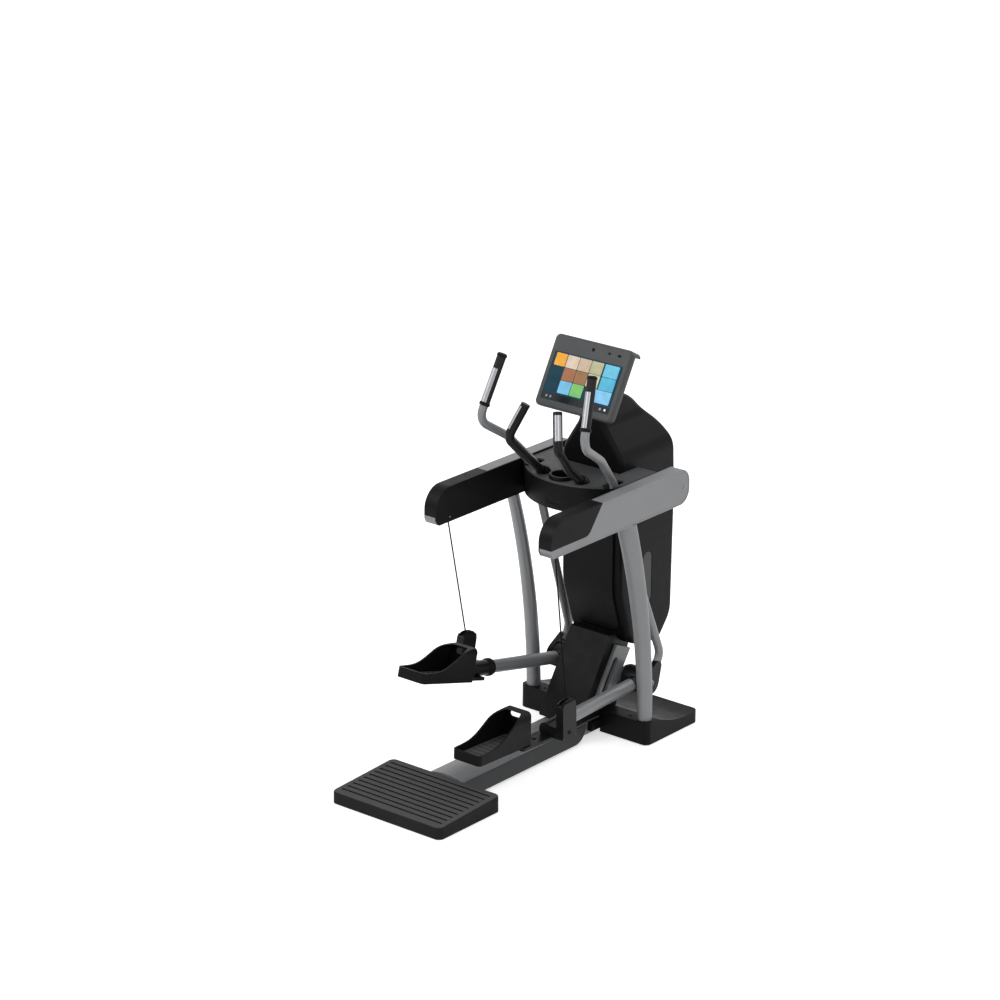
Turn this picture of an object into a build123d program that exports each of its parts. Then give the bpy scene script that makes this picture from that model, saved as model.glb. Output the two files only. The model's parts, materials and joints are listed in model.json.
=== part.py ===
import os

from build123d import *

os.makedirs("parts", exist_ok=True)

# Overall sizes, in millimetres. X is the user's right, Y is forward, Z is up
half_length = 820
foot_height = 3
skin = 5
steel_wall = 4
gap = 0.5
running = 0.05

# Rear step platform
platform_half = 281
platform_length = 370
platform_rear_top = 53
platform_front_top = 71
platform_corner = 26
tread_count = 10
tread_margin = 24
tread_groove = 11
tread_depth = 5

# Centre beam and its side covers
beam_half = 84
beam_floor = 14
beam_top = 66
beam_crown = 12
beam_front = 520
cover_foot_half = 114
cover_top_half = 89
cover_floor = 8
cover_front = 330
cover_nose = 60
cover_groove = 4

# Front base
base_half = 334
base_rear = 417
base_front = 765
base_rear_top = 101
base_front_top = 56
base_shelf = 72
base_dip = 58
base_corner = 26
tongue_width = 22
tongue_length = 80
tongue_floor = 30

# Posts that carry the arms
post_x = 292
post_foot_y = 455
post_mid = (426, 474)
post_top_y = 299
post_foot_radius = 30
post_top_major = 41
post_top_minor = 25
post_turn = 40

# Arms
arm_inner = 260
arm_width = 63
arm_bottom = 988
arm_top = 1137
arm_rear = -205
arm_front = 683
arm_rear_round = 90
arm_nose = 60
arm_liner = 6
arm_strip = 36
arm_end_top_y = 133
arm_end_low_y = 30
arm_end_round = 45
arm_rim = 6
rim_depth = 1
button_inset = 46
button_radius = 11
cable_x = 274
cable_exit_y = -121

# Column housing
column_half = 152
column_rear = 454
column_top = 1462
column_low = 325
column_back_low = 600
column_skin = 6
column_inset = 18
column_round = 20
column_rounds = (300, 1500, 40, 240, 220, 1500, 1500, 120, 60, 90)
shoulder_low = 1185
shoulder_high = 1318
hood_half = 64
hood_top_half = 54
shoulder_round = 110
hood_round = 70
recess_place = (638, 630)
recess_height = 230
recess_width = 62
recess_depth = 2
panel_half = 122
panel_low = 424
panel_high = 975
panel_proud = 10
panel_corner = 45

# Inclined cover, mast and struts below the column
lower_half = 103
lower_foot_y = 254
lower_run = 208
lower_thick = 40
lower_top = 412
mast_half = 90
mast_depth = 120
mast_notch = 4
strut_width = 14
strut_slot = 15
strut_corners = ((352, 160), (446, 132), (580, 330), (491, 369))
strut_slot_ends = ((410, 193), (482, 301))

# Bridge tray between the arms
tray_rear = 205
tray_side_rear = 345
tray_low = 1012
tray_top = 1130
tray_front = 560
deck_thick = 8
cup_y = 263
cup_radius = 42
cup_depth = 80
cup_rim = 16
slot_shift = -19
lever_slot_length = 112
lever_slot_x = 203
lever_slot_width = 48
shelf_z = 1046
shelf_width = 90
shelf_height = 24
shelf_depth = 3

# Console
console_half = 195
console_height = 302
console_thick = 34
console_lean = 29
console_low = (319, 1386)
console_round = 22
shelf_thick = 19
shelf_reach = 28
screen_low = 30
screen_width = 344
screen_height = 200
screen_depth = 4
screen_sunk = 1
neck_low = 30
neck_high = 130
neck_half = 40
neck_reach = 110
neck_set = 10
neck_drop = (30, 130)
handle_radius = 19
fixed_top = (80, 131, 1455)
fixed_bend = (128, 76, 1318)
fixed_mid = (103, 172, 1212)
fixed_foot = (98, 282, 1118)
fixed_rounds = (45, 90)
pulse_start = 14
plate_thick = 1.5
pulse_length = 104

# Lever pivots, hubs and pedal bars
pivot_x = 200
pivot_y = 354
pivot_z = 1045
pivot_radius = 12
boss_half = 22
boss_radius = 28
lever_radius = 17.5
grip_radius = 19
grip_length = 215
lever_foot_x = 238
lever_top_at = (227, -192, 579)
lever_bend_at = (266, -292, 318)
lever_knee_at = (239, -146, 224)
lever_neck_at = (-4, 71)
lever_heel_at = (82, 98)
lever_end_at = (39, 51)
lever_rounds = (60, 150, 100, 200, 60)
grip_cap = 4
grip_plate_start = 60
grip_plate_end = 12
hub_y = 542
hub_z = 222
hub_inner = 134
hub_outer = 233
hub_radius = 52
axle_radius = 14
bush_radius = 19
lug_inner = 234.5
lug_width = 22
socket_wall = 3
lug_reach = (44, 58)
bar_x = 200
bar_radius = 27
bar_length = 614
knuckle_start = 440
knuckle_wall = 5
knuckle_collar = 34
left_pitch = 12.0
right_pitch = -2.0

# Pedals and their cable brackets
pedal_x = 156
pedal_half = 70
pedal_length = 324
pedal_toe = 735
pedal_drop = 14
pedal_pitch = 4
pedal_wall = 8
pedal_floor = 12
pedal_corner = 16
pedal_spare = 4
pedal_heel_rim = 42
pedal_toe_rim = 136
toe_shoulder = 32
flank_rise = (14, 22)
toe_slot_drop = 28
toe_slot_length = 84
toe_slot_height = 24
bracket_y = 577
bracket_length = 84
bracket_low = -24
bracket_high = 130
bracket_inner = 256
bracket_width = 36
bracket_floor = 40
toe_plate = 12
toe_plate_inner = 150
toe_plate_lap = 60
toe_plate_hole = 10
toe_plate_round = 10
clamp_wall = 5
mat_thick = 4
mat_grooves = 9
mat_groove = 10
mat_margin = 12
mat_clearance = (2, 4)

# Pedal cables and the swivels they run through
cable_radius = 3
cable_end_radius = 6
cable_attach = 104
cable_tail = 12
cable_travel = 88
cable_slot = 40
swivel_z = 1008
swivel_radius = 11
swivel_half = 7.5
roller_radius = 7
roller_half = 5.5
trunnion_radius = 4
trunnion_boss = 18

# Drive inside the column
drive_clearance = 35
drive_shift = 12
crank_lead = 15
crank_less = 10
crank_z = 830
flywheel_x = 60
flywheel_z = 560
flywheel_width = 36
pulley_radius = 32
belt_width = 16
belt_thick = 3
shaft_radius = 12
bearing_radius = 28
bearing_width = 14

# The drive takes its size and place from the room inside the column
flywheel_radius = (half_length - column_rear) / 2 - column_inset - drive_clearance
flywheel_y = (half_length + column_rear) / 2 - drive_shift
crank_radius = flywheel_radius - crank_less
crank_y = flywheel_y - crank_lead

sides = (("left", -1, left_pitch), ("right", 1, right_pitch))


def side_view(x, frame=Location()):
    return Plane(frame * Pos(x, 0, 0) * Plane.YZ.location)


def front_view(y, frame=Location()):
    return Plane(frame * Pos(0, y, 0) * Plane.XZ.location)


def top_view(z, frame=Location()):
    return Plane(frame * Pos(0, 0, z))


def near_x(side, inner, width):
    # Lowest X of a slab that starts at inner on the given side of the middle plane
    return inner if side > 0 else -inner - width


def on_side(side, point, y=0, z=0):
    # A point given for the right side, moved to the given side and set off from a place
    return (side * point[0], y + point[1], z + point[2])


def save(part, name):
    part.label = name
    export_step(part, f"parts/{name}.step")


# Rear platform: a sloped, ribbed step that is open below
platform_rear = -half_length
platform_front = platform_rear + platform_length
slope_rise = platform_front_top - platform_rear_top
with BuildPart() as rear_platform:
    with BuildSketch(side_view(-platform_half)):
        with BuildLine():
            Polyline(
                (platform_rear, foot_height),
                (platform_front, foot_height),
                (platform_front, platform_front_top),
                (platform_rear, platform_rear_top),
                close=True,
            )
        make_face()
    extrude(amount=2 * platform_half)
    corners = rear_platform.edges().filter_by(Axis.Z)
    fillet(corners, platform_corner)
    top = rear_platform.faces().sort_by(Axis.Z)[-1]
    fillet(top.edges(), 7)
    with BuildSketch(Plane.XY.offset(foot_height)):
        with Locations((0, (platform_rear + platform_front) / 2)):
            RectangleRounded(
                2 * (platform_half - skin), platform_length - 2 * skin, platform_corner - skin
            )
    extrude(amount=platform_rear_top - foot_height - skin - tread_depth - 3, mode=Mode.SUBTRACT)
    pitch = (platform_length - 2 * tread_margin) / tread_count
    for row in range(tread_count):
        groove_y = platform_rear + tread_margin + (row + 0.5) * pitch
        groove_z = platform_rear_top + slope_rise * (groove_y - platform_rear) / platform_length
        with BuildSketch(Plane.XY.offset(groove_z - tread_depth)):
            with Locations((0, groove_y)):
                SlotOverall(2 * (platform_half - tread_margin), tread_groove)
        extrude(amount=4 * tread_depth, mode=Mode.SUBTRACT)
save(rear_platform.part, "rear_platform")

# Centre beam: a crowned steel box between the platform and the column
with BuildPart() as base_beam:
    with BuildSketch(front_view(beam_front)):
        with BuildLine():
            Polyline(
                (-beam_half, beam_top),
                (-beam_half, beam_floor),
                (beam_half, beam_floor),
                (beam_half, beam_top),
            )
            ThreePointArc((beam_half, beam_top), (0, beam_top + beam_crown), (-beam_half, beam_top))
        make_face()
    extrude(amount=beam_front - platform_front - gap)
    fillet(base_beam.edges().filter_by(Axis.Y).group_by(Axis.Z)[-1], 6)
    with BuildSketch(front_view(beam_front)):
        with Locations((0, (beam_floor + beam_top) / 2)):
            Rectangle(2 * (beam_half - steel_wall), beam_top - beam_floor - 2 * steel_wall)
    extrude(amount=beam_front - platform_front - gap, mode=Mode.SUBTRACT)
save(base_beam.part, "base_beam")

# Side covers: inclined moulded panels with a rounded nose at the front
with BuildPart() as beam_covers:
    with BuildSketch(front_view(cover_front)):
        for side in (-1, 1):
            with BuildLine():
                Polyline(
                    (side * (beam_half + gap), cover_floor),
                    (side * cover_foot_half, cover_floor),
                    (side * cover_top_half, beam_top - cover_groove),
                    (side * (beam_half + gap), beam_top - cover_groove),
                    close=True,
                )
            make_face()
    extrude(amount=cover_front - platform_front - gap)
    with BuildSketch(side_view(-2 * cover_foot_half)) as outline:
        with BuildLine():
            l1 = Line((platform_front + gap, cover_floor), (cover_front - 2 * cover_nose, cover_floor))
            l2 = ThreePointArc(
                l1 @ 1,
                (cover_front - 0.6 * cover_nose, cover_floor + 0.35 * cover_nose),
                (cover_front, beam_top - cover_groove),
            )
            l3 = Line(l2 @ 1, (platform_front + gap, beam_top - cover_groove))
            Line(l3 @ 1, l1 @ 0)
        make_face()
    extrude(amount=4 * cover_foot_half, mode=Mode.INTERSECT)
save(beam_covers.part, "beam_covers")

# Front base: a wide moulded foot with a dished top, open below
with BuildPart() as front_base:
    with BuildSketch(side_view(-base_half)):
        with BuildLine():
            Line((base_rear, foot_height), (base_front, foot_height))
            Line((base_front, foot_height), (base_front, base_front_top))
            ThreePointArc(
                (base_front, base_front_top),
                ((base_rear + base_shelf + base_front) / 2, base_dip),
                (base_rear + base_shelf, base_rear_top),
            )
            Line((base_rear + base_shelf, base_rear_top), (base_rear, base_rear_top))
            Line((base_rear, base_rear_top), (base_rear, foot_height))
        make_face()
    extrude(amount=2 * base_half)
    fillet(front_base.edges().filter_by(Axis.Z), base_corner)
    with BuildSketch(Plane.XY.offset(foot_height)):
        with Locations((0, (base_rear + base_front) / 2)):
            RectangleRounded(
                2 * (base_half - skin), base_front - base_rear - 2 * skin, base_corner - skin
            )
    extrude(amount=base_dip - foot_height - 3 * skin, mode=Mode.SUBTRACT)
    with BuildSketch(Plane.XY.offset(foot_height)):
        with Locations((0, (base_rear + beam_front) / 2)):
            Rectangle(2 * (mast_half + gap), beam_front - base_rear + 2 * mast_notch)
    extrude(amount=base_rear_top, mode=Mode.SUBTRACT)
    with BuildSketch(Plane.XY.offset(tongue_floor)):
        for side in (-1, 1):
            tongue_x = side * (beam_half + gap + tongue_width / 2)
            with Locations((tongue_x, base_rear - tongue_length / 2 + skin)):
                Rectangle(tongue_width, tongue_length)
    extrude(amount=beam_top - tongue_floor)
save(front_base.part, "front_base")

# Levelling feet under the platform and the base
foot_x = platform_half - 44
foot_rows = (platform_rear + 44, platform_front - 44)
with BuildPart() as level_feet:
    for plane_z, radius, height in ((0, 22, 8), (8, 14, platform_rear_top - skin - tread_depth - 11)):
        with BuildSketch(Plane.XY.offset(plane_z)):
            with Locations(*[(x, y) for x in (-foot_x, foot_x) for y in foot_rows]):
                Circle(radius)
        extrude(amount=height)
    for plane_z, radius, height in ((0, 26, 8), (8, 16, base_dip - 3 * skin - 8)):
        with BuildSketch(Plane.XY.offset(plane_z)):
            with Locations(*[(x, y) for x in (-270, 270) for y in (base_rear + 46, base_front - 46)]):
                Circle(radius)
        extrude(amount=height)
save(level_feet.part, "level_feet")

# Posts: curved tubes that change from round at the foot to a turned oval under the arms
for name, side, pitch_angle in sides:
    with BuildLine(side_view(side * post_x)) as post_path:
        arc = ThreePointArc((post_foot_y, base_rear_top), post_mid, (post_top_y, arm_bottom + 30))
    with BuildPart() as post:
        for wall, mode in ((0, Mode.ADD), (steel_wall, Mode.SUBTRACT)):
            for place in (0, 0.35, 0.7, 1):
                cut = Plane(arc @ place, x_dir=(1, 0, 0), z_dir=arc % place)
                with BuildSketch(cut):
                    Ellipse(
                        post_foot_radius + (post_top_major - post_foot_radius) * place - wall,
                        post_foot_radius + (post_top_minor - post_foot_radius) * place - wall,
                        rotation=side * post_turn,
                    )
            loft(mode=mode)
        split(bisect_by=Plane.XY.offset(arm_bottom), keep=Keep.BOTTOM)
        split(bisect_by=Plane.XY.offset(base_rear_top), keep=Keep.TOP)
    save(post.part, f"{name}_post")


def arm_outline():
    # Side outline of an arm: square nose with round corners, and a large round at the rear top
    with BuildSketch() as outline:
        with BuildLine():
            Polyline(
                (arm_rear + 12, arm_bottom),
                (arm_front, arm_bottom),
                (arm_front, arm_top),
                (arm_rear, arm_top),
                (arm_rear, arm_bottom + 24),
                close=True,
            )
        make_face()
        points = outline.vertices()
        fillet(points.group_by(Axis.X)[-1], arm_nose)
        rear_top = [v for v in outline.vertices() if v.Y > arm_top - 1 and v.X < arm_rear + 1]
        fillet(rear_top, arm_rear_round)
        rear_low = [v for v in outline.vertices() if v.X < arm_rear + 13 and v.Y < arm_bottom + 25]
        fillet(rear_low, 16)
    return outline.sketch


def arm_end_outline():
    # The part of the arm outline that the rear cover takes
    with BuildSketch() as outline:
        with BuildLine():
            Polyline(
                (arm_rear - 50, arm_bottom + arm_strip),
                (arm_end_low_y, arm_bottom + arm_strip),
                (arm_end_top_y, arm_top + 20),
                (arm_rear - 50, arm_top + 20),
                close=True,
            )
        make_face()
        fillet([v for v in outline.vertices() if v.X > arm_rear and v.Y < arm_top], arm_end_round)
    return outline.sketch


# Arms: a silver shell, a dark inner liner and a dark rear cover on each side
arm_side = arm_outline()
end_side = arm_end_outline()
for name, side, pitch_angle in sides:
    shell_x = near_x(side, arm_inner + arm_liner, arm_width - arm_liner)
    pocket_x = near_x(side, arm_inner + arm_liner, arm_width - arm_liner - skin)
    with BuildPart() as arm_shell:
        with BuildSketch(side_view(shell_x)):
            add(arm_side)
            add(end_side, mode=Mode.SUBTRACT)
        extrude(amount=arm_width - arm_liner)
        with BuildSketch(side_view(pocket_x)):
            add(arm_side)
            offset(amount=-skin)
        extrude(amount=arm_width - arm_liner - skin, mode=Mode.SUBTRACT)
        boss_x = near_x(side, arm_inner + arm_width - skin - trunnion_boss, trunnion_boss)
        with BuildSketch(side_view(boss_x)):
            with Locations((cable_exit_y, swivel_z)):
                Circle(2 * trunnion_radius)
                Circle(trunnion_radius + running, mode=Mode.SUBTRACT)
        extrude(amount=trunnion_boss)
        with BuildSketch(Plane.XY.offset(arm_bottom - skin)):
            with Locations((side * cable_x, cable_exit_y)):
                SlotOverall(cable_slot, 4 * cable_radius, rotation=90)
        extrude(amount=3 * skin, mode=Mode.SUBTRACT)
        with BuildSketch(side_view(near_x(side, arm_inner + arm_width - rim_depth, rim_depth))):
            add(arm_side)
            add(end_side, mode=Mode.SUBTRACT)
            offset(amount=-arm_rim)
        extrude(amount=rim_depth, mode=Mode.SUBTRACT)
        with BuildSketch(side_view(near_x(side, arm_inner + arm_width - 2 * rim_depth, 2 * rim_depth))):
            with Locations((arm_front - button_inset, (arm_bottom + arm_top) / 2)):
                Circle(button_radius)
        extrude(amount=2 * rim_depth, mode=Mode.SUBTRACT)
    save(arm_shell.part, f"{name}_arm_shell")

    with BuildPart() as arm_end:
        with BuildSketch(side_view(near_x(side, arm_inner, arm_width))):
            add(arm_side)
            add(end_side, mode=Mode.INTERSECT)
            offset(amount=-0.25)
        extrude(amount=arm_width)
        with BuildSketch(side_view(near_x(side, arm_inner + skin, arm_width - 2 * skin))):
            add(arm_side)
            add(end_side, mode=Mode.INTERSECT)
            offset(amount=-skin)
        extrude(amount=arm_width - 2 * skin, mode=Mode.SUBTRACT)
        with BuildSketch(Plane.XY.offset(arm_bottom + arm_strip - skin)):
            with Locations((side * cable_x, cable_exit_y)):
                SlotOverall(cable_slot, 4 * cable_radius, rotation=90)
        extrude(amount=3 * skin, mode=Mode.SUBTRACT)
    save(arm_end.part, f"{name}_arm_end")

with BuildPart() as arm_liners:
    for name, side, pitch_angle in sides:
        with BuildSketch(side_view(near_x(side, arm_inner, arm_liner))):
            add(arm_side)
            add(end_side, mode=Mode.SUBTRACT)
            with Locations((cable_exit_y, swivel_z)):
                Circle(trunnion_radius + running, mode=Mode.SUBTRACT)
        extrude(amount=arm_liner)
save(arm_liners.part, "arm_liners")


def column_outline():
    # Side outline of the column: upright back, bulged front and a hood that rises to the console
    with BuildSketch() as outline:
        with BuildLine():
            FilletPolyline(
                (column_rear, column_back_low),
                (column_rear, tray_top),
                (column_rear - 20, column_top),
                (column_rear + 170, column_top - 57),
                (half_length - 10, column_top - 237),
                (half_length, column_top - 462),
                (half_length, column_top - 600),
                (half_length - 8, column_low + 105),
                (half_length - 92, column_low),
                (column_rear + 76, column_low + 37),
                radius=list(column_rounds),
                close=True,
            )
        make_face()
    return outline.sketch


def column_face():
    # Rear outline of the column: upright flanks that round into shoulders below a narrow hood
    with BuildSketch() as outline:
        with BuildLine():
            Polyline(
                (-column_half, 0),
                (-column_half, shoulder_low),
                (-hood_half, shoulder_high),
                (-hood_top_half, 2 * column_top),
                (hood_top_half, 2 * column_top),
                (hood_half, shoulder_high),
                (column_half, shoulder_low),
                (column_half, 0),
                close=True,
            )
        make_face()
        fillet([v for v in outline.vertices() if abs(v.Y - shoulder_low) < 1], shoulder_round)
        fillet([v for v in outline.vertices() if abs(v.Y - shoulder_high) < 1], hood_round)
    return outline.sketch


# Column housing: a hollow moulding with a separate rear panel
column_side = column_outline()
column_rear_face = column_face()
with BuildPart() as column_cavity:
    with BuildSketch(side_view(-column_half)):
        add(column_side)
        offset(amount=-column_inset)
    extrude(amount=2 * column_half)
    with BuildSketch(front_view(half_length)):
        add(column_rear_face)
        offset(amount=-column_skin)
    extrude(amount=2 * half_length, mode=Mode.INTERSECT)
with BuildPart() as column_housing:
    with BuildSketch(side_view(-2 * column_half)):
        add(column_side)
    extrude(amount=4 * column_half)
    with BuildSketch(front_view(2 * half_length)):
        add(column_rear_face)
    extrude(amount=4 * half_length, mode=Mode.INTERSECT)
    rims = column_housing.edges().filter_by(Axis.X, reverse=True).filter_by(Axis.Y, reverse=True)
    fillet(rims, column_round)
    add(column_cavity.part, mode=Mode.SUBTRACT)
    for side in (-1, 1):
        with BuildSketch(side_view(near_x(side, column_half - recess_depth, recess_depth))):
            with Locations(recess_place):
                SlotOverall(recess_height, recess_width, rotation=90)
        extrude(amount=recess_depth, mode=Mode.SUBTRACT)
        with BuildSketch(side_view(near_x(side, column_half - column_skin - bearing_width, bearing_width))):
            with Locations((crank_y, crank_z), (flywheel_y, flywheel_z)):
                Circle(bearing_radius)
                Circle(shaft_radius + running, mode=Mode.SUBTRACT)
        extrude(amount=bearing_width)
save(column_housing.part, "column_housing")

with BuildPart() as column_panel:
    with BuildSketch(side_view(-panel_half)):
        add(column_side)
        offset(amount=panel_proud)
        add(column_side, mode=Mode.SUBTRACT)
        with Locations((column_rear, (panel_low + panel_high) / 2)):
            Rectangle(180, panel_high - panel_low, mode=Mode.INTERSECT)
    extrude(amount=2 * panel_half)
    with BuildSketch(front_view(half_length)):
        with Locations((0, (panel_low + panel_high) / 2)):
            RectangleRounded(2 * panel_half - 1, panel_high - panel_low - 1, panel_corner)
    extrude(amount=half_length, mode=Mode.INTERSECT)
save(column_panel.part, "column_panel")

# Lower cover, mast and struts: the inclined back of the frame between the beam and the column
frame_floor = beam_top + beam_crown + gap
with BuildSketch() as cover_sketch:
    with BuildLine():
        Polyline(
            (lower_foot_y, frame_floor),
            (lower_foot_y + lower_run, lower_top),
            (lower_foot_y + lower_run + lower_thick, lower_top),
            (lower_foot_y + lower_thick, frame_floor),
            close=True,
        )
    make_face()
    add(column_side, mode=Mode.SUBTRACT)
with BuildSketch() as mast_sketch:
    with BuildLine():
        Polyline(
            (lower_foot_y + lower_thick + gap, frame_floor),
            (lower_foot_y + lower_run + lower_thick + gap, lower_top),
            (lower_foot_y + lower_run + lower_thick + mast_depth, lower_top),
            (beam_front, frame_floor),
            close=True,
        )
    make_face()
    add(column_side, mode=Mode.SUBTRACT)

with BuildPart() as lower_cover:
    with BuildSketch(side_view(-lower_half)):
        add(cover_sketch.sketch)
    extrude(amount=2 * lower_half)
    fillet(lower_cover.faces().sort_by(Axis.Y)[0].edges().filter_by(Axis.X, reverse=True), 10)
    with BuildSketch(side_view(-lower_half + 2 * skin)):
        add(cover_sketch.sketch)
        offset(amount=-skin)
    extrude(amount=2 * lower_half - 4 * skin, mode=Mode.SUBTRACT)
    with BuildSketch(Plane.XY.offset(frame_floor)):
        with Locations((0, lower_foot_y + lower_thick / 2)):
            Rectangle(lower_half, lower_thick / 2)
    extrude(amount=3 * skin, mode=Mode.SUBTRACT)
save(lower_cover.part, "lower_cover")

with BuildPart() as frame_mast:
    with BuildSketch(side_view(-mast_half)):
        add(mast_sketch.sketch)
    extrude(amount=2 * mast_half)
    with BuildSketch(side_view(-mast_half + steel_wall)):
        add(mast_sketch.sketch)
        offset(amount=-steel_wall)
    extrude(amount=2 * (mast_half - steel_wall), mode=Mode.SUBTRACT)
    with BuildSketch(Plane.XY.offset(frame_floor)):
        with Locations((0, (lower_foot_y + lower_thick + beam_front) / 2)):
            Rectangle(mast_half, mast_depth)
    extrude(amount=3 * steel_wall, mode=Mode.SUBTRACT)
save(frame_mast.part, "frame_mast")

with BuildPart() as side_struts:
    for side in (-1, 1):
        with BuildSketch(side_view(near_x(side, lower_half, strut_width))):
            with BuildLine():
                Polyline(*strut_corners, close=True)
            make_face()
            with BuildSketch(mode=Mode.SUBTRACT):
                with Locations(*strut_slot_ends):
                    Circle(strut_slot)
                make_hull()
            add(column_side, mode=Mode.SUBTRACT)
        extrude(amount=strut_width)
save(side_struts.part, "side_struts")

# Tray: a bowed moulding between the arms, with slots for the levers and a cup holder let into it
tray_half = arm_inner - gap
tray_back = column_rear - panel_proud - gap
with BuildSketch() as tray_plan:
    with BuildLine():
        ThreePointArc((-tray_half, tray_side_rear), (0, tray_rear), (tray_half, tray_side_rear))
        Polyline(
            (tray_half, tray_side_rear),
            (tray_half, tray_front),
            (column_half + gap, tray_front),
            (column_half + gap, tray_back),
            (-column_half - gap, tray_back),
            (-column_half - gap, tray_front),
            (-tray_half, tray_front),
            (-tray_half, tray_side_rear),
        )
    make_face()
with BuildPart() as tray_deck:
    with BuildSketch(Plane.XY.offset(tray_top - deck_thick)):
        add(tray_plan.sketch)
        with Locations((-lever_slot_x, pivot_y + slot_shift), (lever_slot_x, pivot_y + slot_shift)):
            SlotOverall(lever_slot_length, lever_slot_width, rotation=90, mode=Mode.SUBTRACT)
        with Locations((0, cup_y)):
            Circle(cup_radius + skin + gap, mode=Mode.SUBTRACT)
    extrude(amount=deck_thick)
save(tray_deck.part, "tray_deck")

with BuildPart() as tray_skirt:
    with BuildSketch(Plane.XY.offset(tray_low)):
        add(tray_plan.sketch)
        with BuildSketch(mode=Mode.SUBTRACT):
            add(tray_plan.sketch)
            offset(amount=-skin)
    extrude(amount=tray_top - deck_thick - tray_low)
    with BuildSketch(front_view(tray_rear + shelf_depth)):
        with Locations((0, shelf_z)):
            SlotOverall(shelf_width, shelf_height)
    extrude(amount=2 * shelf_depth, mode=Mode.SUBTRACT)
    with BuildSketch(side_view(-arm_inner)):
        with Locations((pivot_y, pivot_z)):
            Circle(pivot_radius + gap)
    extrude(amount=2 * arm_inner, mode=Mode.SUBTRACT)
save(tray_skirt.part, "tray_skirt")

with BuildPart() as cup_holder:
    with BuildSketch(Plane.XY.offset(tray_top - cup_depth - skin)):
        with Locations((0, cup_y)):
            Circle(cup_radius + skin)
    extrude(amount=cup_depth + skin)
    with BuildSketch(Plane.XY.offset(tray_top)):
        with Locations((0, cup_y)):
            Circle(cup_radius + 2 * skin)
    extrude(amount=cup_rim)
    with BuildSketch(Plane.XY.offset(tray_top - cup_depth)):
        with Locations((0, cup_y)):
            Circle(cup_radius)
    extrude(amount=cup_depth + 2 * cup_rim, mode=Mode.SUBTRACT)
save(cup_holder.part, "cup_holder")

# Shaft across the arms that carries both levers
with BuildPart() as pivot_shaft:
    with BuildSketch(side_view(-tray_half)):
        with Locations((pivot_y, pivot_z)):
            Circle(pivot_radius)
    extrude(amount=2 * tray_half)
save(pivot_shaft.part, "pivot_shaft")

# Console: a leaning slab with a shelf along its top, a glass pane and a neck to the column
console_frame = Location((0, console_low[0], console_low[1]), (-console_lean, 0, 0))
with BuildPart() as console_housing:
    with BuildSketch(front_view(console_thick, console_frame)):
        with Locations((0, console_height / 2)):
            RectangleRounded(2 * console_half, console_height, console_round)
    extrude(amount=console_thick)
    fillet(console_housing.faces().sort_by(Axis.Y)[-1].edges(), 10)
    with BuildSketch(front_view(screen_depth, console_frame)):
        with Locations((0, screen_low + screen_height / 2)):
            RectangleRounded(screen_width, screen_height, 6)
    extrude(amount=2 * screen_depth, mode=Mode.SUBTRACT)
    with BuildSketch(front_view(console_thick + shelf_reach, console_frame)):
        with Locations((0, console_height / 2)):
            RectangleRounded(2 * console_half, console_height, console_round)
        with Locations((0, console_height - shelf_thick / 2)):
            Rectangle(2 * console_half, shelf_thick, mode=Mode.INTERSECT)
    extrude(amount=shelf_reach + console_thick / 2)
save(console_housing.part, "console_housing")

with BuildPart() as console_screen:
    with BuildSketch(front_view(screen_depth, console_frame)):
        with Locations((0, screen_low + screen_height / 2)):
            RectangleRounded(screen_width - gap, screen_height - gap, 6)
    extrude(amount=screen_depth - screen_sunk)
save(console_screen.part, "console_screen")

back_low = console_frame * Pos(0, console_thick, neck_low)
back_high = console_frame * Pos(0, console_thick, neck_high)
with BuildPart() as console_neck:
    with BuildSketch(side_view(-neck_half)):
        with BuildLine():
            Polyline(
                (back_low.position.Y, back_low.position.Z),
                (back_high.position.Y, back_high.position.Z),
                (column_rear + neck_reach, column_top - neck_drop[0]),
                (column_rear + neck_set, column_top - neck_drop[1]),
                close=True,
            )
        make_face()
        add(column_side, mode=Mode.SUBTRACT)
    extrude(amount=2 * neck_half)
save(console_neck.part, "console_neck")


def run_plane(start, end, along):
    # Plane across a straight run, at a distance from its start
    heading = Vector(*end) - Vector(*start)
    return Plane(Vector(*start) + heading.normalized() * along, x_dir=(1, 0, 0), z_dir=heading)


def contact_plate(sketch_plane, inner, outer, length):
    # Contact plate: the third of a sleeve that faces the user
    with BuildPart() as plate:
        with BuildSketch(sketch_plane):
            Circle(outer)
            Circle(inner, mode=Mode.SUBTRACT)
            with Locations((0, inner / 2 - outer)):
                Rectangle(4 * outer, 2 * outer, mode=Mode.SUBTRACT)
        extrude(amount=length)
    return plate.part


with BuildSketch() as pedal_front:
    with Locations((0, (pedal_toe_rim + pedal_spare) / 2 - pedal_spare)):
        Rectangle(2 * pedal_half, pedal_toe_rim + 3 * pedal_spare)
    fillet(pedal_front.vertices().group_by(Axis.Y)[-1], pedal_half - toe_shoulder)
pedal_arch = pedal_front.sketch
with BuildSketch() as pedal_inside:
    add(pedal_arch)
    offset(amount=-pedal_wall)
    with Locations((0, -pedal_toe_rim / 2 + pedal_floor)):
        Rectangle(4 * pedal_half, pedal_toe_rim, mode=Mode.SUBTRACT)
pedal_hollow = pedal_inside.sketch
pulse_plates = []

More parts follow.
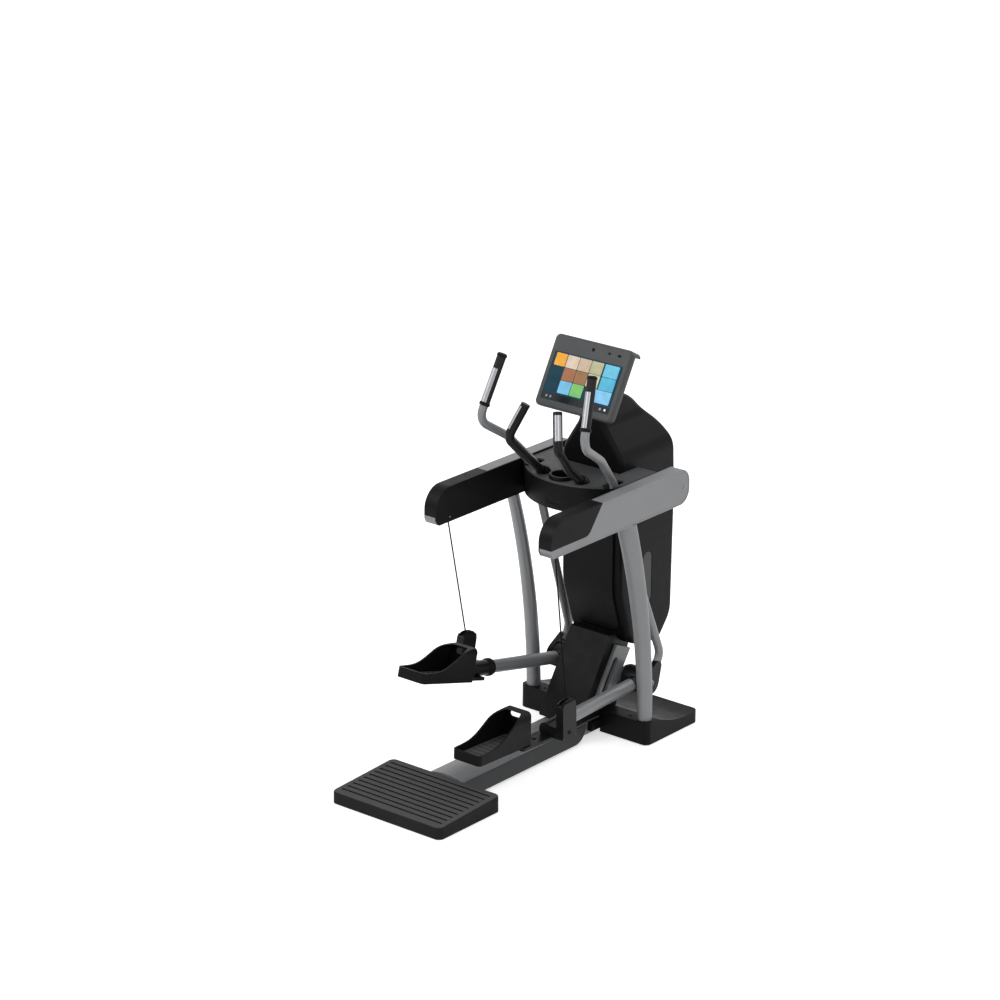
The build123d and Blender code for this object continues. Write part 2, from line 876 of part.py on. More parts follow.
for name, side, pitch_angle in sides:
    # Fixed handle: a bent tube that stands on the tray, with a contact plate
    handle_top = on_side(side, fixed_top)
    handle_bend = on_side(side, fixed_bend)
    handle_mid = on_side(side, fixed_mid)
    handle_foot = on_side(side, fixed_foot)
    with BuildPart() as fixed_handle:
        with BuildLine() as handle_path:
            FilletPolyline(handle_top, handle_bend, handle_mid, handle_foot, radius=list(fixed_rounds))
        with BuildSketch(Plane(handle_path.line @ 0, z_dir=handle_path.line % 0)):
            Circle(handle_radius)
        sweep()
        split(bisect_by=Plane.XY.offset(tray_top), keep=Keep.TOP)
    save(fixed_handle.part, f"{name}_fixed_handle")
    plate_plane = run_plane(handle_top, handle_bend, pulse_start)
    pulse_plates.append(contact_plate(plate_plane, handle_radius, handle_radius + plate_thick, pulse_length))

    # Lever: one bent tube from the moving grip down to the hub
    grip_top = on_side(side, lever_top_at, pivot_y, pivot_z)
    grip_bend = on_side(side, lever_bend_at, pivot_y, pivot_z)
    lever_knee = on_side(side, lever_knee_at, pivot_y, pivot_z)
    lever_neck = (side * pivot_x, pivot_y + lever_neck_at[0], pivot_z + lever_neck_at[1])
    lever_pivot = (side * pivot_x, pivot_y, pivot_z)
    lever_heel = (side * lever_foot_x, hub_y + lever_heel_at[0], hub_z + lever_heel_at[1])
    lever_end = (side * lever_foot_x, hub_y + lever_end_at[0], hub_z + lever_end_at[1])
    with BuildPart() as lever:
        with BuildLine() as lever_path:
            FilletPolyline(
                grip_top, grip_bend, lever_knee, lever_neck, lever_pivot, lever_heel, lever_end,
                radius=list(lever_rounds),
            )
        with BuildSketch(Plane(lever_path.line @ 0, z_dir=lever_path.line % 0)):
            Circle(lever_radius)
        sweep()
        with BuildSketch(Plane(lever_path.line @ 0, z_dir=lever_path.line % 0)):
            Circle(lever_radius - steel_wall)
        sweep(path=lever_path.line, mode=Mode.SUBTRACT)
        with BuildSketch(side_view(near_x(side, pivot_x - boss_half, 2 * boss_half))):
            with Locations((pivot_y, pivot_z)):
                Circle(boss_radius)
        extrude(amount=2 * boss_half)
        with BuildSketch(side_view(near_x(side, pivot_x - 2 * boss_half, 4 * boss_half))):
            with Locations((pivot_y, pivot_z)):
                Circle(pivot_radius + running)
        extrude(amount=4 * boss_half, mode=Mode.SUBTRACT)
    save(lever.part, f"{name}_lever")

    with BuildPart() as lever_lug:
        with BuildSketch(side_view(near_x(side, lug_inner, lug_width))):
            with Locations((hub_y, hub_z)):
                Circle(hub_radius)
            with Locations((hub_y + lug_reach[0], hub_z + lug_reach[1])):
                Circle(lever_radius + 6)
            make_hull()
            with Locations((hub_y, hub_z)):
                Circle(axle_radius, mode=Mode.SUBTRACT)
        extrude(amount=lug_width)
        add(lever.part, mode=Mode.SUBTRACT)
    save(lever_lug.part, f"{name}_lever_lug")

    with BuildPart() as hub_axle:
        with BuildSketch(side_view(near_x(side, hub_inner - 2, lug_inner + lug_width - hub_inner + 2))):
            with Locations((hub_y, hub_z)):
                Circle(axle_radius)
        extrude(amount=lug_inner + lug_width - hub_inner + 2)
        with BuildSketch(side_view(near_x(side, hub_inner - 10, 8))):
            with Locations((hub_y, hub_z)):
                Circle(hub_radius - 6)
        extrude(amount=8)
    save(hub_axle.part, f"{name}_hub_axle")

    with BuildPart() as hub_bush:
        with BuildSketch(side_view(near_x(side, hub_inner, hub_outer - hub_inner))):
            with Locations((hub_y, hub_z)):
                Circle(bush_radius)
                Circle(axle_radius + running, mode=Mode.SUBTRACT)
        extrude(amount=hub_outer - hub_inner)
    save(hub_bush.part, f"{name}_hub_bush")

    # Moving grip and its contact strip
    with BuildPart() as grip:
        with BuildSketch(run_plane(grip_top, grip_bend, -grip_cap)):
            Circle(grip_radius)
        extrude(amount=grip_length + grip_cap)
        fillet(grip.edges().sort_by(Axis.Z)[-1], grip_cap + 1)
        with BuildSketch(run_plane(grip_top, grip_bend, 0)):
            Circle(lever_radius)
        extrude(amount=grip_length + 2 * skin, mode=Mode.SUBTRACT)
    save(grip.part, f"{name}_grip")
    strip_plane = run_plane(grip_top, grip_bend, grip_plate_start)
    strip_length = grip_length - grip_plate_start - grip_plate_end
    strip = contact_plate(strip_plane, grip_radius, grip_radius + plate_thick, strip_length)
    save(strip, f"{name}_grip_plate")

    # Pedal bar, laid along -Y of a frame that stands at the hub
    bar_frame = Location((0, hub_y, hub_z), (-pitch_angle, 0, 0))
    pedal_frame = bar_frame * Location((0, -pedal_toe, -pedal_drop), (-pedal_pitch, 0, 0))
    bracket_front = bracket_y - bracket_length / 2
    plate_reach = pedal_toe - bracket_front - bracket_length / 2
    plate_span = bar_x + bar_radius + clamp_wall - toe_plate_inner
    with BuildPart() as bar_hub:
        with BuildSketch(side_view(near_x(side, hub_inner, hub_outer - hub_inner), bar_frame)):
            Circle(hub_radius)
        extrude(amount=hub_outer - hub_inner)
        fillet(bar_hub.edges(), 6)
        with BuildSketch(front_view(0, bar_frame)):
            with Locations((side * bar_x, 0)):
                Circle(bar_radius + socket_wall)
        extrude(amount=hub_radius + 14)
        with BuildSketch(side_view(near_x(side, hub_inner - 1, hub_outer - hub_inner + 2), bar_frame)):
            Circle(bush_radius + running)
        extrude(amount=hub_outer - hub_inner + 2, mode=Mode.SUBTRACT)
        with BuildSketch(front_view(-hub_radius + 4, bar_frame)):
            with Locations((side * bar_x, 0)):
                Circle(bar_radius)
        extrude(amount=bar_length, mode=Mode.SUBTRACT)
    save(bar_hub.part, f"{name}_bar_hub")

    with BuildPart() as bar:
        with BuildSketch(front_view(-hub_radius + 4, bar_frame)):
            with Locations((side * bar_x, 0)):
                Circle(bar_radius)
        extrude(amount=bar_length - hub_radius + 4)
        with BuildSketch(front_view(-hub_radius + 4, bar_frame)):
            with Locations((side * bar_x, 0)):
                Circle(bar_radius - steel_wall)
        extrude(amount=bar_length - hub_radius - steel_wall, mode=Mode.SUBTRACT)
    save(bar.part, f"{name}_bar")

    with BuildPart() as knuckle:
        with BuildSketch(front_view(-knuckle_start, bar_frame)):
            with Locations((side * bar_x, 0)):
                Circle(bar_radius + knuckle_wall)
        extrude(amount=bracket_front - knuckle_start)
        with BuildSketch(front_view(-knuckle_start, bar_frame)):
            with Locations((side * bar_x, 0)):
                Circle(bar_radius + 2 * knuckle_wall)
        extrude(amount=knuckle_collar)
        fillet(knuckle.edges().filter_by(GeomType.CIRCLE).group_by(SortBy.RADIUS)[-1], knuckle_wall - 1)
        with BuildSketch(front_view(-knuckle_start + 1, bar_frame)):
            with Locations((side * bar_x, 0)):
                Circle(bar_radius)
        extrude(amount=bar_length - knuckle_start + 1, mode=Mode.SUBTRACT)
    save(knuckle.part, f"{name}_knuckle")

    # Cable bracket: a clamp on the bar's end with a hollow ear for the cable and a plate under the pedal
    with BuildPart() as bracket:
        with BuildSketch(front_view(-bracket_front, bar_frame)):
            with Locations((side * bar_x, 0)):
                Circle(bar_radius + clamp_wall)
            with Locations((side * (bar_x + bracket_inner + bracket_width) / 2, 0)):
                RectangleRounded(bracket_inner + bracket_width - bar_x, -2 * bracket_low, 10)
        extrude(amount=bracket_length)
        with BuildSketch(side_view(near_x(side, bracket_inner, bracket_width), bar_frame)):
            with Locations((-bracket_y, (bracket_low + bracket_high) / 2)):
                RectangleRounded(bracket_length, bracket_high - bracket_low, 20)
        extrude(amount=bracket_width)
        with BuildSketch(top_view(bracket_floor, bar_frame)):
            with Locations((side * (bracket_inner + bracket_width / 2), -bracket_y)):
                Rectangle(bracket_width - 2 * skin, bracket_length - 12)
        extrude(amount=bracket_high - bracket_floor, mode=Mode.SUBTRACT)
        with BuildSketch(top_view(-toe_plate, pedal_frame)):
            with Locations((side * (toe_plate_inner + plate_span / 2), (plate_reach - toe_plate_lap) / 2)):
                RectangleRounded(plate_span, plate_reach + toe_plate_lap, toe_plate_round)
            with Locations((side * (toe_plate_inner + plate_span / 2), plate_reach / 3)):
                Circle(toe_plate_hole, mode=Mode.SUBTRACT)
        extrude(amount=toe_plate)
        with BuildSketch(front_view(-bracket_front + 1, bar_frame)):
            with Locations((side * bar_x, 0)):
                Circle(bar_radius)
        extrude(amount=bar_length - bracket_front + 1, mode=Mode.SUBTRACT)
    save(bracket.part, f"{name}_cable_bracket")

    # Pedal: a shoe-like tray with rising sides and an arched toe wall
    with BuildPart() as pedal:
        with BuildSketch(side_view(side * pedal_x - pedal_half - pedal_spare, pedal_frame)):
            with BuildLine():
                Polyline(
                    (0, pedal_toe_rim),
                    (pedal_spare, pedal_toe_rim),
                    (pedal_spare, 0),
                    (-pedal_length - pedal_spare, 0),
                    (-pedal_length - pedal_spare, pedal_heel_rim),
                    (-pedal_length, pedal_heel_rim),
                )
                Spline(
                    (-pedal_length, pedal_heel_rim),
                    (-pedal_length * 0.62, pedal_heel_rim + flank_rise[0]),
                    (-pedal_length * 0.3, pedal_toe_rim - flank_rise[1]),
                    (0, pedal_toe_rim),
                    tangents=((1, 0.05), (1, 0.1)),
                )
            make_face()
        extrude(amount=2 * (pedal_half + pedal_spare))
        with BuildSketch(front_view(pedal_spare, pedal_frame)):
            with Locations((side * pedal_x, 0)):
                add(pedal_arch)
        extrude(amount=pedal_length + 2 * pedal_spare, mode=Mode.INTERSECT)
        with BuildSketch(top_view(-pedal_spare, pedal_frame)):
            with Locations((side * pedal_x, -pedal_length / 2)):
                RectangleRounded(2 * pedal_half + 1, pedal_length, pedal_corner)
        extrude(amount=2 * pedal_toe_rim, mode=Mode.INTERSECT)
        with BuildSketch(front_view(-pedal_wall, pedal_frame)):
            with Locations((side * pedal_x, 0)):
                add(pedal_hollow)
        extrude(amount=pedal_length - 2 * pedal_wall, mode=Mode.SUBTRACT)
        with BuildSketch(front_view(pedal_wall, pedal_frame)):
            with Locations((side * pedal_x, pedal_toe_rim - toe_slot_drop)):
                SlotOverall(toe_slot_length, toe_slot_height)
        extrude(amount=4 * pedal_wall, mode=Mode.SUBTRACT)
    save(pedal.part, f"{name}_pedal")

    with BuildPart() as pedal_mat:
        mat_half = pedal_half - pedal_wall - mat_clearance[0]
        mat_length = pedal_length - 2 * (pedal_wall + mat_clearance[1])
        with BuildSketch(top_view(pedal_floor, pedal_frame)):
            with Locations((side * pedal_x, -pedal_length / 2)):
                RectangleRounded(2 * mat_half, mat_length, pedal_corner - pedal_wall)
        extrude(amount=mat_thick)
        with BuildSketch(top_view(pedal_floor + mat_thick / 2, pedal_frame)):
            with Locations((side * pedal_x, -pedal_length / 2)):
                with GridLocations(0, mat_length / (mat_grooves + 1), 1, mat_grooves):
                    SlotOverall(2 * (mat_half - mat_margin), mat_groove)
        extrude(amount=mat_thick, mode=Mode.SUBTRACT)
    save(pedal_mat.part, f"{name}_pedal_mat")

    # Cable: it hangs from the swivel in the arm and ends in a ball inside the bracket
    swivel = Vector(side * cable_x, cable_exit_y, swivel_z)
    attach = (bar_frame * Pos(side * cable_x, -bracket_y, cable_attach)).position
    spare = cable_tail + (cable_travel if side < 0 else 0)
    drop = (attach - swivel).length
    cable_plane = Plane(swivel, x_dir=(1, 0, 0), z_dir=attach - swivel)
    with BuildPart() as cable:
        with BuildSketch(cable_plane.offset(-spare)):
            Circle(cable_radius)
        extrude(amount=spare + drop)
        with Locations(Location(attach)):
            Sphere(cable_end_radius)
    save(cable.part, f"{name}_cable")

    with BuildPart() as swivel_yoke:
        with BuildSketch(side_view(side * cable_x - swivel_half)):
            with Locations((cable_exit_y, swivel_z)):
                Circle(swivel_radius)
        extrude(amount=2 * swivel_half)
        trunnion_reach = arm_width + arm_inner - skin - cable_x - gap
        for inner, reach in ((arm_inner + gap, cable_x - arm_inner - gap), (cable_x, trunnion_reach)):
            with BuildSketch(side_view(near_x(side, inner, reach))):
                with Locations((cable_exit_y, swivel_z)):
                    Circle(trunnion_radius)
            extrude(amount=reach)
        with BuildSketch(side_view(side * cable_x - roller_half - gap)):
            with Locations((cable_exit_y, swivel_z)):
                Circle(roller_radius + running)
        extrude(amount=2 * (roller_half + gap), mode=Mode.SUBTRACT)
        with BuildSketch(cable_plane.offset(-2 * swivel_radius)):
            SlotOverall(14, 2 * cable_radius + 2, rotation=90)
        extrude(amount=4 * swivel_radius, mode=Mode.SUBTRACT)
    save(swivel_yoke.part, f"{name}_swivel_yoke")

    with BuildPart() as swivel_roller:
        with BuildSketch(side_view(side * cable_x - roller_half)):
            with Locations((cable_exit_y, swivel_z)):
                Circle(roller_radius)
        extrude(amount=2 * roller_half)
        with BuildSketch(cable_plane.offset(-2 * swivel_radius)):
            Circle(cable_radius + running)
        extrude(amount=4 * swivel_radius, mode=Mode.SUBTRACT)
    save(swivel_roller.part, f"{name}_swivel_roller")

save(Compound(children=pulse_plates), "pulse_plates")

# Drive inside the column: a crank wheel, a belt and a flywheel on their shafts
shaft_half = column_half - column_skin - gap
with BuildPart() as drive_wheel:
    with BuildSketch(side_view(-belt_width / 2)):
        with Locations((crank_y, crank_z)):
            Circle(crank_radius)
    extrude(amount=belt_width)
    with BuildSketch(side_view(-shaft_half)):
        with Locations((crank_y, crank_z)):
            Circle(shaft_radius)
    extrude(amount=2 * shaft_half)
    with BuildSketch(side_view(-belt_width)):
        with Locations((crank_y, crank_z)):
            with PolarLocations(crank_radius * 0.58, 5):
                Circle(crank_radius * 0.22)
    extrude(amount=2 * belt_width, mode=Mode.SUBTRACT)
save(drive_wheel.part, "drive_wheel")

with BuildPart() as flywheel:
    with BuildSketch(side_view(flywheel_x)):
        with Locations((flywheel_y, flywheel_z)):
            Circle(flywheel_radius)
    extrude(amount=flywheel_width)
    with BuildSketch(side_view(-belt_width / 2)):
        with Locations((flywheel_y, flywheel_z)):
            Circle(pulley_radius)
    extrude(amount=belt_width)
    with BuildSketch(side_view(-shaft_half)):
        with Locations((flywheel_y, flywheel_z)):
            Circle(shaft_radius)
    extrude(amount=2 * shaft_half)
save(flywheel.part, "flywheel")

with BuildPart() as drive_belt:
    with BuildSketch(side_view(-belt_width / 2)):
        for extra, mode in ((gap + belt_thick, Mode.ADD), (gap, Mode.SUBTRACT)):
            with BuildSketch(mode=mode):
                with Locations((crank_y, crank_z)):
                    Circle(crank_radius + extra)
                with Locations((flywheel_y, flywheel_z)):
                    Circle(pulley_radius + extra)
                make_hull()
    extrude(amount=belt_width)
save(drive_belt.part, "drive_belt")
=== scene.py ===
import json
from math import atan2, cos, pi, radians, sin

import bmesh
import bpy
from mathutils import Matrix, Vector


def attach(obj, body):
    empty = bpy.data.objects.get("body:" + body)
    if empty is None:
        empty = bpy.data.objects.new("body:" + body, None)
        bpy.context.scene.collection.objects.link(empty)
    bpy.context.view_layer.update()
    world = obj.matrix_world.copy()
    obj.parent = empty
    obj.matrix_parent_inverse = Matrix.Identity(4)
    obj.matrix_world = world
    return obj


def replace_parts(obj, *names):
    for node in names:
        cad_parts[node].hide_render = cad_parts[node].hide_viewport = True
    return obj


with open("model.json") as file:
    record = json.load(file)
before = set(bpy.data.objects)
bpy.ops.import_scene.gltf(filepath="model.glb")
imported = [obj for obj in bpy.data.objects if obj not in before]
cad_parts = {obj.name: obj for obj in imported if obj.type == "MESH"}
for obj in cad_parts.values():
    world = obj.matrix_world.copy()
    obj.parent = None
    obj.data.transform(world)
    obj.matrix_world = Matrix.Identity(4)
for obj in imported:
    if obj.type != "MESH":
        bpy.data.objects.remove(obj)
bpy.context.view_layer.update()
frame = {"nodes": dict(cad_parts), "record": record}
nodes = frame["nodes"]
scene = bpy.context.scene
print("frame loaded:", len(nodes), "nodes")

# camera: where the photographer stood, in metres
shot = {
    "place": (8.9513, -10.9758, 6.2047),
    "across": (0.77037816, 0.63757182, 0.00443378),
    "upward": (-0.21918778, 0.25830167, 0.94087032),
    "backward": (0.59872715, -0.72579778, 0.33873792),
    "lens": 137.318,
    "sensor": 36.0,
}
cameraData = bpy.data.cameras.new("studioCamera")
cameraData.lens = shot["lens"]
cameraData.sensor_width = shot["sensor"]
cameraData.sensor_fit = "HORIZONTAL"
cameraData.clip_end = 200
camera = bpy.data.objects.new("studioCamera", cameraData)
turn = Matrix((shot["across"], shot["upward"], shot["backward"])).transposed().to_4x4()
camera.matrix_world = Matrix.Translation(shot["place"]) @ turn
scene.collection.objects.link(camera)
scene.camera = camera
print("camera placed")


def hexLinear(code):
    parts = [int(code[i:i + 2], 16) / 255 for i in (1, 3, 5)]
    return [c / 12.92 if c <= 0.04045 else ((c + 0.055) / 1.055) ** 2.4 for c in parts] + [1.0]


def addNode(tree, kind, settings=None, links=None):
    node = tree.nodes.new(kind)
    for key, value in (settings or {}).items():
        if isinstance(key, str) and hasattr(node, key):
            setattr(node, key, value)
        else:
            node.inputs[key].default_value = value
    for key, source in (links or {}).items():
        tree.links.new(source, node.inputs[key])
    return node


def startMaterial(name, shaderSettings):
    material = bpy.data.materials.new(name)
    material.use_nodes = True
    tree = material.node_tree
    tree.nodes.clear()
    shader = addNode(tree, "ShaderNodeBsdfPrincipled", shaderSettings)
    output = addNode(tree, "ShaderNodeOutputMaterial", None, {"Surface": shader.outputs[0]})
    output.is_active_output = True
    place = addNode(tree, "ShaderNodeTexCoord").outputs["Object"]
    return material, tree, shader, place


# powder-coated steel: sprayed metallic silver, baked, so it has flake and a fine orange peel
def makePowderCoat():
    coat = {"dark": "#707173", "light": "#848587", "flakeMm": 1.2, "peelMm": 2.6, "edgeMm": 1.6}
    material, tree, shader, place = startMaterial(
        "powderCoatedSteel", {"Metallic": 0.3, "Specular IOR Level": 0.35}
    )
    flake = addNode(
        tree, "ShaderNodeTexNoise", {"Scale": 1000 / coat["flakeMm"], "Detail": 2.0}, {"Vector": place}
    )
    tone = addNode(
        tree, "ShaderNodeMix", {"data_type": "RGBA", 6: hexLinear(coat["dark"]), 7: hexLinear(coat["light"])},
        {0: flake.outputs["Fac"]},
    )
    tree.links.new(tone.outputs[2], shader.inputs["Base Color"])
    handled = addNode(tree, "ShaderNodeTexNoise", {"Scale": 7.0, "Detail": 4.0}, {"Vector": place})
    sheen = addNode(
        tree, "ShaderNodeMapRange", {"From Min": 0.3, "From Max": 0.7, "To Min": 0.36, "To Max": 0.48},
        {"Value": handled.outputs["Fac"]},
    )
    tree.links.new(sheen.outputs[0], shader.inputs["Roughness"])
    peel = addNode(
        tree, "ShaderNodeTexNoise", {"Scale": 1000 / coat["peelMm"], "Detail": 1.0}, {"Vector": place}
    )
    edge = addNode(tree, "ShaderNodeBevel", {"samples": 4, "Radius": coat["edgeMm"] / 1000})
    bump = addNode(
        tree, "ShaderNodeBump", {"Strength": 0.06, "Distance": 0.0004},
        {"Height": peel.outputs["Fac"], "Normal": edge.outputs[0]},
    )
    tree.links.new(bump.outputs["Normal"], shader.inputs["Normal"])
    return material


# moulded plastic or rubber: a spark-eroded mould leaves an even grain, drawn coarser than life to show;
# the optional paler tone on upward faces is painted light, a lit top drawn lighter than the shaded sides
def makeMoulded(name, dark, light, gloss, grainMm, grain, shine=0.09, edgeMm=1.2, paintedTopLight=None):
    material, tree, shader, place = startMaterial(
        name, {"Roughness": gloss, "IOR": 1.46, "Specular IOR Level": shine}
    )
    cloud = addNode(tree, "ShaderNodeTexNoise", {"Scale": 9.0, "Detail": 3.0}, {"Vector": place})
    tone = addNode(
        tree, "ShaderNodeMix", {"data_type": "RGBA", 6: hexLinear(dark), 7: hexLinear(light)},
        {0: cloud.outputs["Fac"]},
    )
    # painted light: upward faces are mixed towards a paler tone that stands for their lit tops
    if paintedTopLight:
        facing = addNode(tree, "ShaderNodeSeparateXYZ", None, {"Vector": place.node.outputs["Normal"]})
        paintedTopMask = addNode(
            tree, "ShaderNodeMapRange", {"From Min": 0.6, "From Max": 0.95}, {"Value": facing.outputs["Z"]}
        )
        tone = addNode(
            tree, "ShaderNodeMix", {"data_type": "RGBA", 7: hexLinear(paintedTopLight)},
            {0: paintedTopMask.outputs[0], 6: tone.outputs[2]},
        )
    tree.links.new(tone.outputs[2], shader.inputs["Base Color"])
    smear = addNode(tree, "ShaderNodeTexNoise", {"Scale": 22.0, "Detail": 5.0}, {"Vector": place})
    sheen = addNode(
        tree, "ShaderNodeMapRange",
        {"From Min": 0.3, "From Max": 0.7, "To Min": gloss - 0.06, "To Max": gloss + 0.06},
        {"Value": smear.outputs["Fac"]},
    )
    tree.links.new(sheen.outputs[0], shader.inputs["Roughness"])
    spark = addNode(tree, "ShaderNodeTexNoise", {"Scale": 1000 / grainMm, "Detail": 2.0}, {"Vector": place})
    edge = addNode(tree, "ShaderNodeBevel", {"samples": 4, "Radius": edgeMm / 1000})
    bump = addNode(
        tree, "ShaderNodeBump", {"Strength": grain, "Distance": 0.0006},
        {"Height": spark.outputs["Fac"], "Normal": edge.outputs[0]},
    )
    tree.links.new(bump.outputs["Normal"], shader.inputs["Normal"])
    return material


# grip foam: extruded sleeve with a woven-looking press pattern, in two crossed bands
def makeGripFoam():
    # a wave texture turns by 20 radians per metre at scale 1, so a band is 2 pi times radianMm wide
    foam = {"dark": "#121213", "light": "#1d1d1e", "radianMm": 4.0, "turn": 20}
    material, tree, shader, place = startMaterial("gripFoam", {"Roughness": 0.72, "Specular IOR Level": 0.3})
    scale = 1000 / foam["radianMm"] / foam["turn"]
    bands = []
    for direction in ("X", "Z"):
        bands.append(addNode(
            tree, "ShaderNodeTexWave", {"bands_direction": direction, "Scale": scale, "Distortion": 0.4},
            {"Vector": place},
        ))
    weave = addNode(
        tree, "ShaderNodeMath", {"operation": "MULTIPLY"},
        {0: bands[0].outputs["Fac"], 1: bands[1].outputs["Fac"]},
    )
    tone = addNode(
        tree, "ShaderNodeMix", {"data_type": "RGBA", 6: hexLinear(foam["dark"]), 7: hexLinear(foam["light"])},
        {0: weave.outputs[0]},
    )
    tree.links.new(tone.outputs[2], shader.inputs["Base Color"])
    bump = addNode(
        tree, "ShaderNodeBump", {"Strength": 0.35, "Distance": 0.0008}, {"Height": weave.outputs[0]}
    )
    tree.links.new(bump.outputs["Normal"], shader.inputs["Normal"])
    return material


# brushed stainless plate: fine scratches along the grip
def makeBrushedSteel():
    brush = {"dark": "#8b8c8f", "light": "#b0b1b4", "acrossMm": 0.7, "alongMm": 60.0}
    material, tree, shader, place = startMaterial("brushedStainless", {"Metallic": 1.0, "Roughness": 0.3})
    stretch = addNode(
        tree, "ShaderNodeMapping",
        {"Scale": (1000 / brush["acrossMm"], 1000 / brush["acrossMm"], 1000 / brush["alongMm"])},
        {"Vector": place},
    )
    scratch = addNode(
        tree, "ShaderNodeTexNoise", {"Scale": 1.0, "Detail": 2.0}, {"Vector": stretch.outputs[0]}
    )
    tone = addNode(
        tree, "ShaderNodeMix",
        {"data_type": "RGBA", 6: hexLinear(brush["dark"]), 7: hexLinear(brush["light"])},
        {0: scratch.outputs["Fac"]},
    )
    tree.links.new(tone.outputs[2], shader.inputs["Base Color"])
    sheen = addNode(
        tree, "ShaderNodeMapRange", {"To Min": 0.22, "To Max": 0.38}, {"Value": scratch.outputs["Fac"]}
    )
    tree.links.new(sheen.outputs[0], shader.inputs["Roughness"])
    return material


# turned or cast metal: tool marks or sand grain, under a thin film of oil
def makeInnerMetal(name, dark, light, gloss, grainMm):
    material, tree, shader, place = startMaterial(name, {"Metallic": 1.0, "Roughness": gloss})
    grain = addNode(tree, "ShaderNodeTexNoise", {"Scale": 1000 / grainMm, "Detail": 3.0}, {"Vector": place})
    tone = addNode(
        tree, "ShaderNodeMix", {"data_type": "RGBA", 6: hexLinear(dark), 7: hexLinear(light)},
        {0: grain.outputs["Fac"]},
    )
    tree.links.new(tone.outputs[2], shader.inputs["Base Color"])
    sheen = addNode(
        tree, "ShaderNodeMapRange", {"To Min": gloss - 0.08, "To Max": gloss + 0.08},
        {"Value": grain.outputs["Fac"]},
    )
    tree.links.new(sheen.outputs[0], shader.inputs["Roughness"])
    return material


# display glass: polished cover glass over a dark panel, faintly smeared by fingers
def makeDisplayGlass():
    glass = {"low": "#10303e", "high": "#1a4556", "smearMm": 45}
    material, tree, shader, place = startMaterial("displayGlass", {"IOR": 1.5, "Specular IOR Level": 0.04})
    smear = addNode(
        tree, "ShaderNodeTexNoise", {"Scale": 1000 / glass["smearMm"], "Detail": 4.0}, {"Vector": place}
    )
    tone = addNode(
        tree, "ShaderNodeMix", {"data_type": "RGBA", 6: hexLinear(glass["low"]), 7: hexLinear(glass["high"])},
        {0: smear.outputs["Fac"]},
    )
    tree.links.new(tone.outputs[2], shader.inputs["Base Color"])
    sheen = addNode(
        tree, "ShaderNodeMapRange", {"To Min": 0.12, "To Max": 0.26}, {"Value": smear.outputs["Fac"]}
    )
    tree.links.new(sheen.outputs[0], shader.inputs["Roughness"])
    return material


# lit display: back-lit colour fields behind glass, each with its own colour and a soft fall-off
def makeLitDisplay():
    lit = {"mottleMm": 30, "glow": 0.3}
    material, tree, shader, place = startMaterial(
        "litDisplay", {"Roughness": 0.2, "Specular IOR Level": 0.1, "Emission Strength": lit["glow"]}
    )
    field = addNode(tree, "ShaderNodeAttribute", {"attribute_name": "tileColour"})
    mottle = addNode(
        tree, "ShaderNodeTexNoise", {"Scale": 1000 / lit["mottleMm"], "Detail": 2.0}, {"Vector": place}
    )
    shade = addNode(
        tree, "ShaderNodeMapRange", {"From Min": 0.3, "From Max": 0.7, "To Min": 0.82, "To Max": 1.0},
        {"Value": mottle.outputs["Fac"]},
    )
    tone = addNode(
        tree, "ShaderNodeMix", {"data_type": "RGBA", "blend_type": "MULTIPLY", 0: 1.0},
        {6: field.outputs["Color"], 7: shade.outputs[0]},
    )
    tree.links.new(tone.outputs[2], shader.inputs["Base Color"])
    tree.links.new(tone.outputs[2], shader.inputs["Emission Color"])
    return material


finishes = {
    "silver_paint": makePowderCoat(),
    "black_plastic": makeMoulded("mouldedBlackAbs", "#0b0b0c", "#121213", 0.40, 2.2, 0.10),
    "black_paint": makeMoulded("satinBlackEnamel", "#0d0d0e", "#141415", 0.36, 3.0, 0.05, 0.18),
    "grey_plastic": makeMoulded("mouldedGreyAbs", "#3f4041", "#48494a", 0.45, 2.2, 0.08, 0.2),
    # the tread's upward faces carry a painted highlight, paler than its shaded sides
    "tread_rubber": makeMoulded("treadRubber", "#1a1a1b", "#242425", 0.68, 1.6, 0.35, paintedTopLight="#474748"),
    "grip_rubber": makeGripFoam(),
    "contact_steel": makeBrushedSteel(),
    "screen_glass": makeDisplayGlass(),
    "machined_steel": makeInnerMetal("turnedSteel", "#7d7e80", "#8f9092", 0.35, 1.0),
    "bearing_bronze": makeInnerMetal("bearingBronze", "#8a6a3c", "#9c7a48", 0.4, 1.0),
    "cable_sheath": makeMoulded("nylonSheath", "#0a0a0a", "#101010", 0.6, 1.5, 0.2, 0.05, 0.4),
    "cast_flywheel": makeInnerMetal("castIron", "#3a3a3b", "#48484a", 0.6, 1.4),
    "belt_rubber": makeMoulded("beltRubber", "#121212", "#191919", 0.8, 1.5, 0.2),
}
litDisplay = makeLitDisplay()
slotOf = {entry["node"]: entry["material_slot"] for entry in frame["record"]["subparts"]}
for name, piece in nodes.items():
    piece.data.materials.clear()
    piece.data.materials.append(finishes[slotOf[name]])
print("finishes on every node")


def settle(name, mesh, body, slot, material=None):
    piece = bpy.data.objects.new(name, mesh)
    scene.collection.objects.link(piece)
    mesh.materials.clear()
    mesh.materials.append(material or finishes[slot])
    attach(piece, body)
    return piece


def bridge(bm, low, high):
    count = len(low)
    return [
        bm.faces.new((low[i], low[(i + 1) % count], high[(i + 1) % count], high[i])) for i in range(count)
    ]


# surface of revolution about local Z, from a list of (radius, height)
def revolve(bm, profile, place, steps=32):
    rings = []
    for radius, height in profile:
        ring = []
        for step in range(steps):
            angle = 2 * pi * step / steps
            ring.append(bm.verts.new(place @ Vector((radius * cos(angle), radius * sin(angle), height))))
        rings.append(ring)
    for low, high in zip(rings, rings[1:]):
        bridge(bm, low, high)
    return rings


